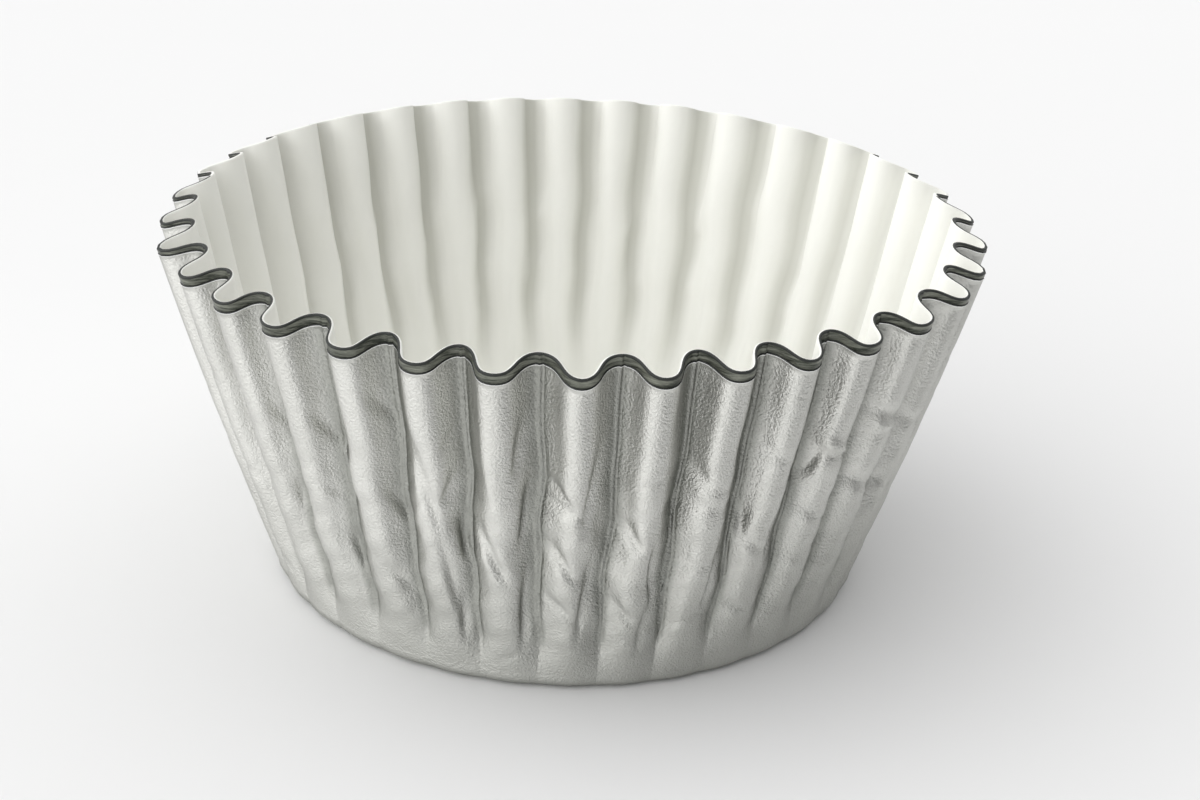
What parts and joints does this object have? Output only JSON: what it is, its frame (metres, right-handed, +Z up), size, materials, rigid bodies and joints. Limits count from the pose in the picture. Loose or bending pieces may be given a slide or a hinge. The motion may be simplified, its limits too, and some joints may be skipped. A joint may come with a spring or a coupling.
{
  "type": "foil baking cup",
  "caption": "Round foil baking cup with a flat base, a flared fluted wall, a silver outside and a white lining inside.",
  "frame": {"origin": "centre of the underside, on the surface that the cup stands on", "axes": "+Z up along the cup's axis, towards the open mouth; a flute's tip lies on +X"},
  "size_m": [0.0669, 0.067, 0.0311],
  "materials": {
    "foil": "satin silver foil outside with fine press wrinkles, matt off-white lining inside"
  },
  "bodies": {
    "root": {"fluted_cup": "foil"}
  },
  "joints": []
}
